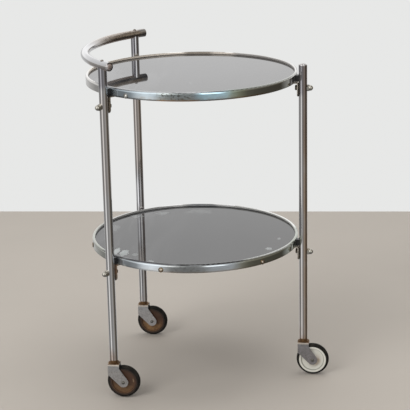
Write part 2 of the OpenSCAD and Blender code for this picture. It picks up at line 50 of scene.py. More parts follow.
BACK = Vector(
    (
        math.sin(CAMERA_AZIMUTH) * math.cos(CAMERA_ELEVATION),
        -math.cos(CAMERA_AZIMUTH) * math.cos(CAMERA_ELEVATION),
        math.sin(CAMERA_ELEVATION),
    )
)
RIGHT = Vector((math.cos(CAMERA_AZIMUTH), math.sin(CAMERA_AZIMUTH), 0))
FRONT = Vector((math.sin(CAMERA_AZIMUTH), -math.cos(CAMERA_AZIMUTH), 0))


def make_camera():
    up = BACK.cross(RIGHT)
    right = RIGHT * math.cos(CAMERA_ROLL) + up * math.sin(CAMERA_ROLL)
    up = BACK.cross(right)
    place = Vector((TRAY_X, 0, AIM_HEIGHT)) + RIGHT * AIM_RIGHT + BACK * CAMERA_DISTANCE
    camera = bpy.data.objects.new("camera", bpy.data.cameras.new("camera"))
    bpy.context.scene.collection.objects.link(camera)
    turn = Matrix((right, up, BACK)).transposed().to_4x4()
    camera.matrix_world = Matrix.Translation(place) @ turn
    camera.data.lens = CAMERA_LENS
    camera.data.sensor_width = SENSOR_WIDTH
    bpy.context.scene.camera = camera
    bpy.context.scene.view_settings.view_transform = "Standard"


class Graph:
    """A node tree with short calls for the few kinds of node used here."""

    def __init__(self, tree):
        self.tree = tree
        tree.nodes.clear()

    def add(self, kind, inputs=(), **settings):
        node = self.tree.nodes.new(kind)
        for name, value in settings.items():
            setattr(node, name, value)
        for name, value in dict(inputs).items():
            self.feed(node.inputs[name], value)
        return node

    def feed(self, socket, value):
        if isinstance(value, bpy.types.NodeSocket):
            self.tree.links.new(value, socket)
        elif hasattr(socket.default_value, "__len__") and not hasattr(value, "__len__"):
            socket.default_value = [value] * len(socket.default_value)
        elif hasattr(value, "__len__") and len(value) == 3 and len(socket.default_value) == 4:
            socket.default_value = (*value, 1)
        else:
            socket.default_value = value

    def math(self, operation, a, b=0.0):
        return self.add("ShaderNodeMath", {0: a, 1: b}, operation=operation).outputs[0]

    def vector(self, operation, a, b):
        return self.add("ShaderNodeVectorMath", {0: a, 1: b}, operation=operation)

    def step(self, value, low, high):
        """0 below low and 1 above high, or the other way round where low is the larger."""
        ends = (0.0, 1.0) if low < high else (1.0, 0.0)
        node = self.add(
            "ShaderNodeMapRange",
            {0: value, 1: min(low, high), 2: max(low, high), 3: ends[0], 4: ends[1]},
            interpolation_type="SMOOTHSTEP",
        )
        return node.outputs[0]

    def window(self, value, low, high, soft):
        """1 from low to high and 0 outside, with each edge softened by soft to both sides."""
        rise = self.step(value, low - soft, low + soft)
        return self.math("MULTIPLY", rise, self.step(value, high + soft, high - soft))

    def scale(self, value, low, high):
        """A value from 0 to 1, spread from low to high."""
        node = self.add("ShaderNodeMapRange", {0: value, 1: 0.0, 2: 1.0, 3: low, 4: high})
        return node.outputs[0]

    def mix(self, factor, a, b, blend="MIX"):
        node = self.add("ShaderNodeMix", data_type="RGBA", blend_type=blend)
        for index, value in ((0, factor), (6, a), (7, b)):
            self.feed(node.inputs[index], value)
        return node.outputs[2]

    def ramp(self, value, stops):
        """A colour for each value, from (place, colour) stops with places from 0 to 1."""
        node = self.add("ShaderNodeValToRGB", {0: value})
        node.color_ramp.interpolation = "LINEAR"
        points = node.color_ramp.elements
        while len(points) < len(stops):
            points.new(0.5)
        for point, (place, colour) in zip(points, stops):
            point.position = place
            point.color = (*colour, 1) if hasattr(colour, "__len__") else (colour, colour, colour, 1)
        return node.outputs[0]

    def all(self, *values):
        result = values[0]
        for value in values[1:]:
            result = self.math("MULTIPLY", result, value)
        return result

    def any(self, *values):
        result = values[0]
        for value in values[1:]:
            result = self.math("MAXIMUM", result, value)
        return result


# Nearly all of the noise lies within a band this wide about 0.5
NOISE_SPREAD = 0.42
# The bump's depth where a finish gives its heights in millimetres
MILLIMETRE = 0.001


class Finish(Graph):
    """A material on the Principled shader, patterned in the cart's own frame."""

    def __init__(self, name, **sockets):
        self.material = bpy.data.materials.new(name)
        self.material.use_nodes = True
        super().__init__(self.material.node_tree)
        out = self.add("ShaderNodeOutputMaterial")
        self.shader = self.add("ShaderNodeBsdfPrincipled")
        self.tree.links.new(self.shader.outputs[0], out.inputs[0])
        self.at = self.add("ShaderNodeTexCoord").outputs["Object"]
        parts = self.add("ShaderNodeSeparateXYZ", {0: self.at})
        self.x, self.y, self.z = parts.outputs
        normal = self.add("ShaderNodeNewGeometry").outputs["Normal"]
        self.up = self.add("ShaderNodeSeparateXYZ", {0: normal}).outputs[2]
        for socket, value in sockets.items():
            self.feed(self.shader.inputs[socket.replace("_", " ")], value)

    def noise(self, size, detail=2.0, rough=0.5, stretch=(1, 1, 1), seed=0.0, distort=0.0):
        """Noise from 0 to 1 whose blobs are about size metres across."""
        place = self.vector("MULTIPLY", self.at, [1 / (size * s) for s in stretch]).outputs[0]
        node = self.add(
            "ShaderNodeTexNoise",
            {
                "Vector": place,
                "W": seed,
                "Scale": 1.0,
                "Detail": detail,
                "Roughness": rough,
                "Distortion": distort,
            },
            noise_dimensions="4D",
        )
        return node.outputs[0]

    def spots(self, size, share, seed=0.0, soft=0.04, stretch=(1, 1, 1)):
        """Ragged spots about size metres across, over about that share of the surface."""
        edge = 0.5 + (0.5 - share) * NOISE_SPREAD
        return self.step(self.noise(size, 3.0, 0.6, stretch, seed), edge - soft, edge + soft)

    def cells(self, size, seed=0.0):
        """A random value from 0 to 1 for each small cell."""
        place = self.vector("MULTIPLY", self.at, [1 / size] * 3).outputs[0]
        node = self.add(
            "ShaderNodeTexVoronoi", {"Vector": place, "W": seed, "Scale": 1.0}, voronoi_dimensions="4D"
        )
        return self.add("ShaderNodeSeparateXYZ", {0: node.outputs["Color"]}).outputs[0]

    def turn(self, x, y, zero=FRONT):
        """Angle in degrees about an upright axis: 0 on the side of zero, more to the photograph's right."""
        out = self.vector("SUBTRACT", self.at, (x, y, 0)).outputs[0]
        across = self.vector("DOT_PRODUCT", out, RIGHT).outputs["Value"]
        ahead = self.vector("DOT_PRODUCT", out, zero).outputs["Value"]
        return self.math("MULTIPLY", self.math("ARCTAN2", across, ahead), math.degrees(1))

    def wheel_polar(self, centre):
        """Distance from a wheel's axle, and angle in degrees that is 0 at the floor and 90 at the front."""
        out = self.add("ShaderNodeSeparateXYZ", {0: self.vector("SUBTRACT", self.at, centre).outputs[0]})
        ahead, _, above = out.outputs
        square = self.math("ADD", self.math("MULTIPLY", ahead, ahead), self.math("MULTIPLY", above, above))
        below = self.math("MULTIPLY", above, -1.0)
        angle = self.math("MULTIPLY", self.math("ARCTAN2", ahead, below), math.degrees(1))
        return self.math("SQRT", square), angle

    def zones(self, colour, angle, table, *masks):
        """Lays tints over a colour by angle, from (from, to, softness in degrees, share, tint) rows."""
        for start, stop, soft, share, tint in table:
            zone = self.all(self.window(angle, start, stop, soft), *masks, share)
            colour = self.mix(self.math("MINIMUM", zone, 1.0), colour, tint)
        return colour

    def finish(self, colour, roughness, height=None, depth=0.0002, metallic=None):
        """Feeds the shader. A height of 1 is a bump of that depth in metres."""
        self.feed(self.shader.inputs["Base Color"], colour)
        self.feed(self.shader.inputs["Roughness"], roughness)
        if metallic is not None:
            self.feed(self.shader.inputs["Metallic"], metallic)
        if height is not None:
            bump = self.add("ShaderNodeBump", {"Strength": 1.0, "Distance": depth, "Height": height})
            self.tree.links.new(bump.outputs[0], self.shader.inputs["Normal"])
        return self.material

    def add_up(self, *pairs):
        """A sum of (value, weight) pairs."""
        total = 0.0
        for value, weight in pairs:
            total = self.math("ADD", total, self.math("MULTIPLY", value, weight))
        return total


RUST = (0.125, 0.062, 0.028)
LIGHT_RUST = (0.36, 0.20, 0.10)

# Share of rust haze on each leg's right side
LEG_HAZE = {"leg_left": 0.22, "leg_right": 0.10, "leg_front": 0.95}
# The height from which each leg turns darker and purple-grey, and the share. The change is softened by the
# value below to both sides.
LEG_DARK_TOP = {"leg_left": (0.749, 0.72), "leg_right": (0.749, 0.85), "leg_front": (0.70, 0.72)}
DARK_TOP_SOFT = 0.008
# Each leg's warm film, as (height from, height to, share)
LEG_WARM = {"leg_left": (0.45, 0.73, 0.5), "leg_right": (0.50, 0.73, 0.3), "leg_front": (0.0, 0.28, 0.3)}
# Heights on the legs over which each of these fades in, from the first to the second
HAZE_FULL = (0.78, 0.58)
FOOT_RUST = (0.135, 0.100)
FRONT_SHADE = (0.50, 0.62)
# The same on the left leg only: above the upper tray for its painted highlight and dark streak, lower down
# for its painted dark streak and its painted shadow
ABOVE_UPPER_TRAY = (0.742, 0.756)
STREAK_BELOW = (0.52, 0.44)
SHADOW_BELOW = (0.56, 0.46)
# A stretch of the left leg by height with a painted highlight, and strips of it by angle in degrees: a
# painted highlight, a painted dark streak, and painted shadow on its right side. Each is (from, to,
# softness).
HIGHLIGHT_STRETCH = (0.355, 0.425, 0.02)
HIGHLIGHT_STRIP = (2, 22, 4)
DARK_STREAK = (-19, -7, 3)
DARK_SIDE = (26, 120, 6)


def leg_chrome(node):
    """Worn chrome tube with fine upright streaks, and rust haze on one side. The left leg also has a painted
    highlight, a painted dark streak and painted shadow.
    """
    mat = Finish("chrome_" + node, Metallic=1.0)
    centre = middle(node)
    side = mat.turn(centre.x, centre.y)
    streaks = mat.noise(0.004, 3, 0.6, (1, 1, 30), 2.0)
    blotches = mat.noise(0.03, 4, 0.6, (1, 1, 3), 5.0)
    pits = mat.spots(0.0022, 0.05, 7.0)
    speckle = mat.noise(0.0022, 3, 0.8, seed=3.0)
    tone = mat.scale(mat.add_up((streaks, 0.45), (blotches, 0.55)), 0.78, 1.16)
    colour = mat.mix(1.0, (0.63, 0.62, 0.615), tone, "MULTIPLY")
    # Each leg darker and purple-grey above a set height
    dark_from, dark_share = LEG_DARK_TOP[node]
    dark_top = mat.step(mat.z, dark_from - DARK_TOP_SOFT, dark_from + DARK_TOP_SOFT)
    dark_top = mat.all(dark_top, mat.scale(blotches, 0.7, 1.2))
    dark_top = mat.math("MULTIPLY", dark_top, dark_share)
    if node == "leg_left":
        dark_top = mat.all(dark_top, mat.scale(mat.window(side, *HIGHLIGHT_STRIP), 1.0, 0.0))
    colour = mat.mix(mat.math("MINIMUM", dark_top, 1.0), colour, (0.32, 0.31, 0.34))
    if node == "leg_left":
        # Painted highlight, painted dark streak and painted shadow on the left leg, standing in for its
        # reflections
        above_tray, low_streak_zone = mat.step(mat.z, *ABOVE_UPPER_TRAY), mat.step(mat.z, *STREAK_BELOW)
        painted_highlight = mat.all(mat.window(side, *HIGHLIGHT_STRIP), above_tray)
        painted_highlight = mat.any(painted_highlight, mat.window(mat.z, *HIGHLIGHT_STRETCH))
        colour = mat.mix(painted_highlight, colour, (0.95, 0.95, 0.97))
        dark_streak = mat.any(above_tray, low_streak_zone)
        dark_streak = mat.all(mat.window(side, *DARK_STREAK), dark_streak, mat.scale(speckle, 0.7, 1.3))
        colour = mat.mix(mat.math("MULTIPLY", dark_streak, 0.70), colour, (0.09, 0.09, 0.13))
        shadow = mat.all(mat.window(side, *DARK_SIDE), mat.step(mat.z, *SHADOW_BELOW), 0.55)
        colour = mat.mix(shadow, colour, (0.22, 0.215, 0.25))
    right_side = mat.window(side, -4, 150, 16)
    haze_by_height = mat.scale(mat.step(mat.z, *HAZE_FULL), 0.40, 1)
    haze = mat.all(right_side, mat.step(blotches, 0.22, 0.55), haze_by_height)
    haze = mat.all(haze, LEG_HAZE[node], mat.scale(speckle, 0.62, 1.38))
    haze = mat.math("MINIMUM", haze, 1.0)
    colour = mat.mix(haze, colour, (0.50, 0.385, 0.29))
    if node == "leg_front":
        shade = mat.all(mat.window(side, -10, 150, 6), mat.step(mat.z, *FRONT_SHADE))
        shade = mat.all(shade, mat.scale(speckle, 0.3, 1.2))
        colour = mat.mix(mat.math("MULTIPLY", shade, 0.60), colour, (0.24, 0.19, 0.175))
    low, high, warm_share = LEG_WARM[node]
    warm = mat.all(mat.window(mat.z, low, high, 0.02), mat.scale(blotches, 0.5, 1.2))
    colour = mat.mix(mat.math("MULTIPLY", warm, warm_share), colour, (0.57, 0.47, 0.395))
    low_rust = mat.all(mat.step(mat.z, *FOOT_RUST), mat.step(blotches, 0.40, 0.60))
    colour = mat.mix(mat.math("MULTIPLY", low_rust, 0.55), colour, LIGHT_RUST)
    colour = mat.mix(mat.math("MULTIPLY", pits, 0.3), colour, (0.20, 0.15, 0.11))
    rough = mat.add_up((streaks, 0.05), (blotches, 0.05), (haze, 0.10), (pits, 0.10))
    height = mat.add_up((streaks, 0.1), (pits, -0.4))
    return mat.finish(colour, mat.math("ADD", rough, 0.025), height, 0.00002)


# Y along the handle, near end to far end, over which each of these fades in. At FILM_END the film stops and
# the bare far end begins.
FILM_START = (-0.02, 0.13)
FILM_END = (0.204, 0.214)
NEAR_UNDERSIDE_SHADE = (-0.150, -0.175)
BOW = (0.13, 0.05)


def handle_chrome(node):
    """Chrome worn by hands: bright at the bow, with a brown speckled film on the far arm, painted shade under
    the film and on the near end's lower half, and a painted highlight and painted shade on the bare far end.
    """
    mat = Finish("chrome_" + node, Metallic=1.0)
    speckle = mat.spots(0.0045, 0.42, 1.0, 0.06)
    fine = mat.noise(0.0015, 3, 0.7, seed=4.0)
    blotches = mat.noise(0.02, 4, 0.65, seed=9.0)
    # Painted shade: the film darker on the tube's lower side
    underside_shade = mat.step(mat.up, 0.15, -0.35)
    film = mat.all(mat.step(mat.y, *FILM_START), mat.scale(blotches, 0.60, 1.25))
    # Painted shade on the lower half of the near end, in the film's colours
    near = mat.all(mat.step(mat.y, *NEAR_UNDERSIDE_SHADE), mat.step(mat.up, 0.45, 0.0))
    near = mat.all(near, mat.scale(blotches, 0.6, 1.2), 0.75)
    film = mat.all(mat.math("MINIMUM", mat.any(film, near), 1.0), mat.step(mat.y, *reversed(FILM_END)))
    colour = mat.mix(mat.scale(blotches, 0.0, 1.0), (0.70, 0.70, 0.71), (0.58, 0.58, 0.59))
    near_bow = mat.step(mat.y, *BOW)
    film_colour = mat.mix(speckle, (0.66, 0.57, 0.49), (0.30, 0.235, 0.18))
    film_colour = mat.mix(mat.math("MULTIPLY", near_bow, 0.7), film_colour, (0.74, 0.67, 0.60))
    film_colour = mat.mix(underside_shade, film_colour, (0.19, 0.125, 0.088))
    grime = mat.all(film, mat.step(mat.up, -0.46, -0.80))
    film_colour = mat.mix(grime, film_colour, mat.mix(speckle, (0.78, 0.64, 0.56), (0.45, 0.33, 0.27)))
    colour = mat.mix(mat.math("MULTIPLY", film, 0.92), colour, film_colour)
    far_end = mat.step(mat.y, *FILM_END)
    # Bare far end: a darker top, a painted highlight band, and painted shade on its lower side
    colour = mat.mix(mat.all(far_end, mat.step(mat.up, 0.72, 0.80), 0.9), colour, (0.40, 0.365, 0.34))
    colour = mat.mix(mat.all(far_end, mat.window(mat.up, 0.55, 0.68, 0.05)), colour, (1.0, 0.98, 0.97))
    colour = mat.mix(mat.all(far_end, mat.step(mat.up, 0.48, 0.36), 0.9), colour, (0.24, 0.225, 0.225))
    rough = mat.add_up((film, 0.12), (fine, 0.04), (speckle, 0.03), (grime, 0.30))
    height = mat.add_up((speckle, 0.6), (fine, 0.3))
    return mat.finish(colour, mat.math("ADD", rough, 0.03), height, 0.00003, mat.scale(grime, 1.0, 0.25))


# The caps' bump: its depth in metres is this times the square of the distance from their middle
CAP_DOME = 11.0


def cap_chrome(node):
    """Bright turned cap, stained in patches. On the near cap, a painted highlight on its left half and a
    painted dark outline round its right edge where it meets the tube.
    """
    mat = Finish("chrome_" + node, Metallic=0.88)
    fine = mat.noise(0.0012, 3, 0.7, seed=2.0)
    blotches = mat.noise(0.006, 3, 0.6, seed=5.0)
    colour = mat.mix(mat.add_up((blotches, 0.8), (fine, 0.2)), (0.92, 0.89, 0.88), (0.34, 0.32, 0.31))
    out = mat.vector("SUBTRACT", mat.at, middle(node)).outputs[0]
    from_axis = mat.vector("DISTANCE", out, (0, 0, 0)).outputs["Value"]
    if node == "handle_cap_right":
        across = mat.vector("DOT_PRODUCT", out, RIGHT).outputs["Value"]
        # Painted highlight: the left half keeps the light colour while the right half turns darker pink, and
        # a painted dark outline runs round the right edge
        colour = mat.mix(mat.step(across, -0.0014, 0.0010), colour, (0.66, 0.565, 0.545))
        ring = mat.all(mat.step(from_axis, 0.0088, 0.0097), mat.step(across, -0.004, 0.002))
        colour = mat.mix(ring, colour, (0.10, 0.09, 0.085))
    dirt = mat.math("MULTIPLY", mat.spots(0.003, 0.22, 8.0), 0.8)
    colour = mat.mix(dirt, colour, (0.09, 0.075, 0.065))
    dome = mat.math("MULTIPLY", from_axis, from_axis)
    height = mat.add_up((fine, 0.006), (dirt, -0.03), (dome, -CAP_DOME / MILLIMETRE))
    return mat.finish(colour, mat.scale(fine, 0.08, 0.22), height, MILLIMETRE)


# Patina along each band, as (from, to, softness in degrees, share, colour)
UPPER_PATINA = (
    (-52, 44, 8, 1.0, (0.52, 0.60, 0.65)),
    (3, 22, 3, 0.95, (0.62, 0.88, 0.99)),
    (19, 32, 4, 0.75, (0.50, 0.58, 0.43)),
    (29, 70, 5, 0.85, (0.42, 0.42, 0.37)),
    (-17, 1, 3, 0.9, (0.56, 0.61, 0.60)),
)
LOWER_PATINA = (
    (-56, 30, 9, 1.0, (0.57, 0.615, 0.65)),
    (-120, -54, 8, 0.9, (0.50, 0.51, 0.46)),
    (-17, 6, 5, 0.8, (0.44, 0.445, 0.435)),
    (24, 110, 6, 0.9, (0.47, 0.50, 0.435)),
)
# The band's bottom edge, as (from, to, softness in degrees, share, colour). The first row of each table is
# painted shade under the band; the other rows are rust and dark brown.
UPPER_EDGE = (
    (-50, -16, 4, 0.90, (0.12, 0.12, 0.115)),
    (-17, 4, 3, 0.85, (0.36, 0.21, 0.11)),
    (4, 24, 3, 0.90, (0.13, 0.105, 0.085)),
    (24, 44, 5, 0.75, (0.33, 0.20, 0.11)),
)
LOWER_EDGE = (
    (-50, -20, 6, 0.50, (0.24, 0.23, 0.21)),
    (-20, 60, 8, 0.45, (0.36, 0.27, 0.18)),
)

# The rolled lip's top, near side, as (from, to, softness in degrees, share, colour): painted reflection in
# lighter and darker arcs
UPPER_LIP = (
    (-60, 18, 3, 0.95, (0.45, 0.455, 0.46)),
    (19, 80, 4, 0.7, (0.36, 0.37, 0.34)),
)
LOWER_LIP = (
    (-60, 28, 3, 0.95, (0.22, 0.225, 0.23)),
    (-38, -12, 3, 0.9, (0.10, 0.10, 0.105)),
    (28, 64, 4, 0.8, (0.64, 0.65, 0.63)),
)
# The bump that leans the band in under its lip, as (height from, height to, depth). The CAD's is upright.
UPPER_LEAN = (0.0144, 0.0188, 0.0015)
LOWER_LEAN = (0.0126, 0.0169, 0.00137)
# The lip's top on the far side, by angle from the far side's middle: painted reflection, with the white rows
# as painted glints
UPPER_FAR_LIP = (
    (-90, -15, 4, 0.95, (0.70, 0.655, 0.585)),
    (-15, -5, 1.5, 1.0, (1.0, 0.97, 0.92)),
    (-3, 13, 2, 0.85, (0.33, 0.295, 0.26)),
    (13, 19, 1.5, 0.9, (0.60, 0.545, 0.49)),
    (20, 25, 1.2, 1.0, (1.0, 0.98, 0.95)),
    (27, 48, 3, 0.9, (0.62, 0.60, 0.575)),
    (48, 90, 4, 0.8, (0.80, 0.785, 0.76)),
)
LOWER_FAR_LIP = (
    (-60, -27, 4, 0.9, (0.72, 0.72, 0.71)),
    (-21, -8, 2, 1.0, (1.0, 1.0, 1.0)),
    (-4, 6, 2, 0.7, (0.46, 0.48, 0.50)),
    (11, 25, 1.5, 1.0, (1.0, 1.0, 1.0)),
    (28, 40, 3, 0.8, (0.80, 0.80, 0.78)),
    (40, 90, 4, 0.95, (0.98, 0.98, 0.95)),
)
# The lip's inner face above the glass, by angle from the far side's middle: painted reflection in lighter and
# darker arcs
UPPER_INNER = (
    (-90, -4, 3, 1.0, (0.64, 0.575, 0.50)),
    (-4, 12, 2, 0.9, (0.29, 0.25, 0.205)),
    (12, 26, 2, 0.9, (0.62, 0.56, 0.49)),
    (26, 100, 4, 0.9, (0.25, 0.24, 0.23)),
)
LOWER_INNER = (
    (-90, -15, 5, 0.9, (0.42, 0.425, 0.42)),
    (-15, -6, 3, 0.9, (0.66, 0.66, 0.65)),
    (-5, 14, 3, 0.9, (0.34, 0.35, 0.36)),
    (14, 24, 2, 0.9, (0.66, 0.66, 0.65)),
    (24, 48, 3, 0.9, (0.50, 0.50, 0.48)),
    (48, 100, 4, 0.95, (0.56, 0.56, 0.53)),
)

# For each rim: the tables above, the height of its lip over its bottom edge, the shares and tints of wear,
# and the colour of the painted shade in the crease above the glass
RIMS = {
    "upper": {
        "patina": UPPER_PATINA,
        "edge": UPPER_EDGE,
        "lip": UPPER_LIP,
        "far_lip": UPPER_FAR_LIP,
        "inner": UPPER_INNER,
        "lean": UPPER_LEAN,
        "lip_from": 0.0182,
        "scored": 0.30,
        "dull": 0.85,
        "dull_arc": (-17, 1, 3),
        "brown": 0.5,
        "far_film": 0.8,
        "far_tint": (0.36, 0.315, 0.265),
        "crease_shade": (0.14, 0.125, 0.11),
    },
    "lower": {
        "patina": LOWER_PATINA,
        "edge": LOWER_EDGE,
        "lip": LOWER_LIP,
        "far_lip": LOWER_FAR_LIP,
        "inner": LOWER_INNER,
        "lean": LOWER_LEAN,
        "lip_from": 0.0174,
        "scored": 0.22,
        "dull": 0.35,
        "dull_arc": (-14, 4, 5),
        "brown": 0.15,
        "far_film": 0.35,
        "far_tint": (0.38, 0.39, 0.40),
        "crease_shade": (0.045, 0.045, 0.048),
    },
}
# Depth inside the tray's edge over which the inner face begins, and half the angle that a spacer smears
INNER_DEPTH = (0.0046, 0.0056)
SPACER_SMEAR = 5.0


def rim_chrome(tier):
    """Aged chrome band: blue-grey where it is clean, a green-grey patina, rust and painted shade along its
    lower edge, painted reflections and glints on its lip, and painted shade in the crease above the glass.
    """
    mat = Finish("chrome_" + tier + "_rim", Metallic=1.0)
    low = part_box(tier + "_rim")[0]
    rim = RIMS[tier]
    side = mat.turn(TRAY_X, 0)
    above = mat.math("SUBTRACT", mat.z, low.z)
    wear = mat.noise(0.012, 4, 0.65, (1, 1, 0.5), 3.0)
    fine = mat.noise(0.003, 3, 0.7, seed=8.0)
    flecks = mat.spots(0.0045, 0.34, 5.0, 0.05)
    scratches = mat.noise(0.020, 4, 0.75, (1, 1, 0.07), 12.0)
    colour = mat.mix(mat.scale(fine, 0.0, 0.6), (0.68, 0.67, 0.65), (0.56, 0.545, 0.52))
    if tier == "upper":
        colour = mat.mix(mat.all(mat.window(side, -100, -50, 6), 0.8), colour, (0.74, 0.725, 0.70))
    colour = mat.zones(colour, side, rim["patina"], mat.scale(wear, 0.65, 1.35))
    on_band = mat.step(mat.up, 0.5, 0.2)
    scored = mat.all(on_band, mat.step(scratches, 0.46, 0.66), rim["scored"])
    colour = mat.mix(scored, colour, (0.20, 0.205, 0.19))
    dull = mat.math("MULTIPLY", mat.window(side, *rim["dull_arc"]), rim["dull"])
    colour = mat.mix(mat.all(flecks, dull, 0.9), colour, (0.13, 0.125, 0.10))
    brown = mat.all(mat.step(above, 0.012, 0.003), mat.window(side, -30, 26, 6), mat.step(wear, 0.30, 0.62))
    brown = mat.math("MULTIPLY", brown, rim["brown"])
    colour = mat.mix(brown, colour, (0.42, 0.31, 0.21))
    bottom = mat.step(above, 0.0046, 0.0014)
    # Painted shade and rust along the band's bottom edge
    colour = mat.zones(colour, side, rim["edge"], bottom, mat.scale(wear, 0.6, 1.4))
    back = mat.math("ABSOLUTE", side)
    far_film = mat.all(mat.step(back, 95, 120), mat.scale(wear, 0.45, 1.3), rim["far_film"])
    colour = mat.mix(mat.math("MINIMUM", far_film, 1.0), colour, rim["far_tint"])
    from_axis = mat.vector("SUBTRACT", mat.at, (TRAY_X, 0, 0)).outputs[0]
    from_axis = mat.vector("MULTIPLY", from_axis, (1, 1, 0)).outputs[0]
    from_axis = mat.vector("DISTANCE", from_axis, (0, 0, 0)).outputs["Value"]
    near_side, far_side = mat.step(back, 100, 92), mat.step(back, 92, 100)
    lip_front = mat.all(near_side, mat.step(above, rim["lip_from"], rim["lip_from"] + 0.0008))
    lip_top = mat.any(mat.step(mat.up, 0.45, 0.70), lip_front)
    far = mat.turn(TRAY_X, 0, -FRONT)
    inner = mat.step(from_axis, *(TRAY_R - depth for depth in INNER_DEPTH))
    inner = mat.all(inner, mat.step(mat.up, 0.75, 0.50))
    worn = mat.scale(wear, 0.8, 1.3)
    # Painted reflections and glints on the lip's top and inner face, by angle
    colour = mat.zones(colour, side, rim["lip"], mat.all(lip_top, near_side), worn)
    colour = mat.zones(colour, far, rim["far_lip"], mat.all(lip_top, far_side), worn)
    colour = mat.zones(colour, far, rim["inner"], inner, worn)
    over_glass = mat.math("SUBTRACT", mat.z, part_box(tier + "_glass")[1].z)
    # Painted shade in the crease where the inner face meets the glass
    crease_shade = mat.all(inner, mat.step(over_glass, 0.0015, 0.0008))
    colour = mat.mix(crease_shade, colour, rim["crease_shade"])
    start, stop, lean_depth = rim["lean"]
    lean = mat.add("ShaderNodeMapRange", {0: above, 1: start, 2: stop, 3: 0.0, 4: 1.0}).outputs[0]
    lean = mat.math("MULTIPLY", lean, lean)
    smeared = 0.0
    for end in ENDS:
        out = middle(f"{tier}_spacer_{end}") - Vector((TRAY_X, 0, 0))
        at = math.degrees(math.atan2(out.dot(RIGHT), out.dot(FRONT)))
        smeared = mat.any(smeared, mat.window(side, at - SPACER_SMEAR, at + SPACER_SMEAR, 1.5))
    smeared = mat.math("MULTIPLY", smeared, on_band)
    rough = mat.add_up(
        (dull, 0.10),
        (fine, 0.05),
        (bottom, 0.16),
        (brown, 0.10),
        (far_film, 0.08),
        (inner, 0.35),
        (smeared, 0.32),
    )
    height = mat.add_up((fine, 0.0025), (flecks, 0.004), (bottom, -0.004), (lean, -lean_depth / MILLIMETRE))
    return mat.finish(colour, mat.math("ADD", rough, 0.03), height, MILLIMETRE, mat.scale(inner, 1.0, 0.35))


# Marks on the glass: (x, y, half width, half depth, strength, raggedness), in metres from the tray's middle
UPPER_MARKS = ((0.015, -0.12, 0.003, 0.006, 0.2, 1.5),)
LOWER_MARKS = (
    (-0.167, -0.144, 0.0065, 0.027, 0.95, 2.2),
    (-0.1465, -0.158, 0.0105, 0.026, 1.0, 2.2),
    (-0.119, -0.166, 0.007, 0.011, 0.30, 2.4),
    (-0.075, -0.215, 0.008, 0.009, 0.45, 2.0),
    (0.189, -0.101, 0.008, 0.009, 0.50, 2.4),
    (0.207, -0.021, 0.004, 0.008, 0.35, 2.0),
    (-0.170, 0.141, 0.016, 0.016, 0.25, 5.0),
    (-0.107, 0.170, 0.016, 0.014, 0.22, 6.5),
    (-0.022, 0.195, 0.030, 0.018, 0.14, 6.5),
    (-0.210, 0.030, 0.012, 0.030, 0.16, 5.0),
)


# Where the wiped clouds and the warm tint fade in, along X
CLOUDS = (-0.04, -0.20)
WARM_TINT = (-0.05, 0.20)


def black_glass(tier):
    """Black glass with a thin film of dust, wiped streaks, and flaked marks near its edge."""
    mat = Finish("glass_" + tier, IOR=1.75)
    dust = mat.noise(0.09, 5, 0.6, (1, 1, 1), 2.0)
    wipes = mat.noise(0.05, 4, 0.6, (1, 5, 1), 6.0, 0.4)
    grain = mat.noise(0.0015, 2, 0.6, seed=3.0)
    torn = mat.noise(0.010, 6, 0.8, (1.6, 0.8, 1), 11.0)
    marks = 0.0
    for x, y, half_x, half_y, strength, ragged in LOWER_MARKS if tier == "lower" else UPPER_MARKS:
        off = mat.vector("SUBTRACT", mat.at, (TRAY_X + x, y, 0)).outputs[0]
        off = mat.vector("MULTIPLY", off, (1 / half_x, 1 / half_y, 0)).outputs[0]
        far = mat.vector("DOT_PRODUCT", off, off).outputs["Value"]
        reach = mat.math("ADD", far, mat.scale(torn, -ragged, ragged))
        marks = mat.any(marks, mat.math("MULTIPLY", mat.step(reach, 1.05, 0.85), strength))
    clouds = mat.all(mat.step(mat.x, *CLOUDS), mat.step(wipes, 0.46, 0.60))
    film = mat.add_up((dust, 0.020), (wipes, 0.014), (grain, 0.006), (clouds, 0.05))
    tint = mat.mix(mat.step(mat.x, *WARM_TINT), (1.0, 1.0, 1.02), (1.08, 1.0, 0.93))
    colour = mat.mix(1.0, mat.mix(film, (0.006, 0.006, 0.007), (1, 1, 1)), tint, "MULTIPLY")
    colour = mat.mix(marks, colour, (0.58, 0.62, 0.62))
    rough = mat.add_up((dust, 0.016), (wipes, 0.012), (marks, 0.45))
    height = mat.add_up((marks, 1.0), (grain, 0.004))
    return mat.finish(colour, mat.math("ADD", rough, 0.002), height, 0.0002)


def board():
    """Dark stained hardboard."""
    mat = Finish("base_board")
    fibres = mat.noise(0.0012, 4, 0.7, seed=1.0)
    brown_patches = mat.noise(0.06, 3, 0.6, seed=2.0)
    colour = mat.mix(brown_patches, (0.075, 0.050, 0.034), (0.14, 0.095, 0.062))
    colour = mat.mix(mat.math("MULTIPLY", mat.step(fibres, 0.5, 0.7), 0.4), colour, (0.20, 0.145, 0.10))
    return mat.finish(colour, mat.scale(brown_patches, 0.55, 0.75), fibres, 0.0002)


